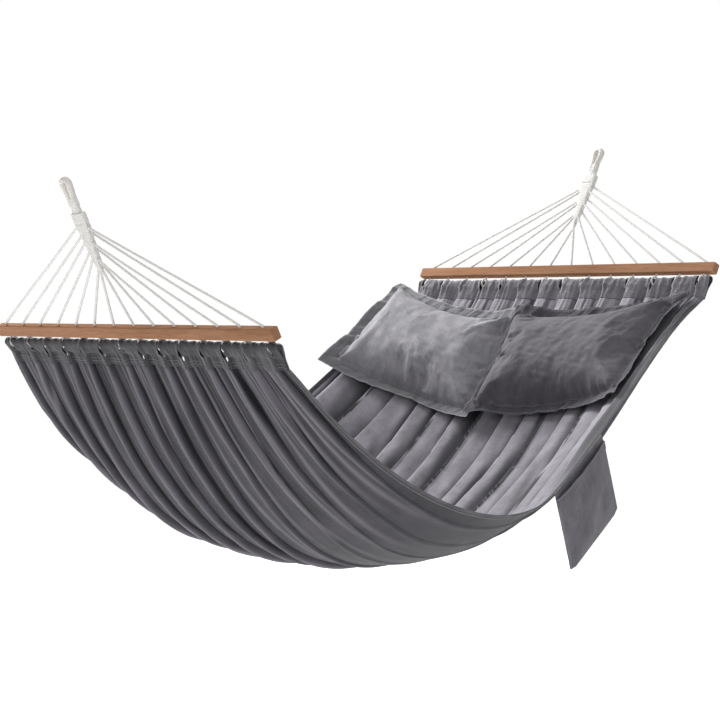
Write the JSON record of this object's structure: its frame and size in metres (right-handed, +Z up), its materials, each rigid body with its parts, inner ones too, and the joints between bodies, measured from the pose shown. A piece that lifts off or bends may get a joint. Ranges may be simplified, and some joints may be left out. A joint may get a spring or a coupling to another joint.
{
  "type": "spreader bar hammock",
  "caption": "Cloth hammock: a pleated bed between two drilled wooden spreader bars, hung by cord fans from rope loops, with flanged head pillows and a hanging side pocket.",
  "frame": {"origin": "inside top of the head end's rope loop, where a hook carries it", "axes": "+X from the foot to the head, +Y across the bed away from the side pocket, +Z up"},
  "size_m": [1.9518, 1.4321, 1.189],
  "materials": {
    "wood": "oiled",
    "cotton_cord": "matte",
    "bed_cloth": "matte woven",
    "pale_pillow_cloth": "matte woven",
    "grey_pillow_cloth": "matte woven",
    "pillow_filling": "matte"
  },
  "bodies": {
    "hung_loops": {"foot_loop": "cotton_cord", "head_loop": "cotton_cord", "foot_seizing": "cotton_cord", "head_seizing": "cotton_cord"},
    "hammock": {"foot_bar": "wood", "head_bar": "wood", "foot_dowel": "wood", "head_dowel": "wood", "foot_cord_01": "cotton_cord", "foot_cord_02": "cotton_cord", "foot_cord_03": "cotton_cord", "foot_cord_04": "cotton_cord", "foot_cord_05": "cotton_cord", "foot_cord_06": "cotton_cord", "foot_cord_07": "cotton_cord", "foot_cord_08": "cotton_cord", "foot_cord_09": "cotton_cord", "foot_cord_10": "cotton_cord", "foot_cord_11": "cotton_cord", "foot_cord_12": "cotton_cord", "foot_cord_13": "cotton_cord", "foot_cord_14": "cotton_cord", "head_cord_01": "cotton_cord", "head_cord_02": "cotton_cord", "head_cord_03": "cotton_cord", "head_cord_04": "cotton_cord", "head_cord_05": "cotton_cord", "head_cord_06": "cotton_cord", "head_cord_07": "cotton_cord", "head_cord_08": "cotton_cord", "head_cord_09": "cotton_cord", "head_cord_10": "cotton_cord", "head_cord_11": "cotton_cord", "head_cord_12": "cotton_cord", "head_cord_13": "cotton_cord", "head_cord_14": "cotton_cord", "foot_clew": "cotton_cord", "head_clew": "cotton_cord", "foot_throat": "cotton_cord", "head_throat": "cotton_cord", "foot_header": "bed_cloth", "head_header": "bed_cloth", "bed_sheet": "bed_cloth", "near_hem": "bed_cloth", "far_hem": "bed_cloth"},
    "far_pillow": {"far_pillow_cover": "pale_pillow_cloth", "far_pillow_filling": "pillow_filling"},
    "near_pillow": {"near_pillow_cover": "grey_pillow_cloth", "near_pillow_filling": "pillow_filling"},
    "pocket": {"pocket_back": "bed_cloth", "pocket_front": "bed_cloth", "pocket_hem": "bed_cloth"}
  },
  "joints": [
    {"name": "swing", "type": "hinge", "parent": "hung_loops", "child": "hammock", "pos_m": [-0.03112, 0, -0.06381], "axis": [0.9959, 0, 0.0905], "range_deg": [-30, 30]},
    {"name": "far_pillow_lift", "type": "slide", "parent": "hammock", "child": "far_pillow", "axis": [-0.806, 0, 0.5919], "range_m": [0, 0.25]},
    {"name": "near_pillow_lift", "type": "slide", "parent": "hammock", "child": "near_pillow", "axis": [-0.806, 0, 0.5919], "range_m": [0, 0.25]},
    {"name": "pocket_swing", "type": "hinge", "parent": "hammock", "child": "pocket", "pos_m": [-0.93598, -0.70015, -0.9498], "axis": [0.8266, 0.1297, 0.5477], "range_deg": [-100, 0]}
  ]
}
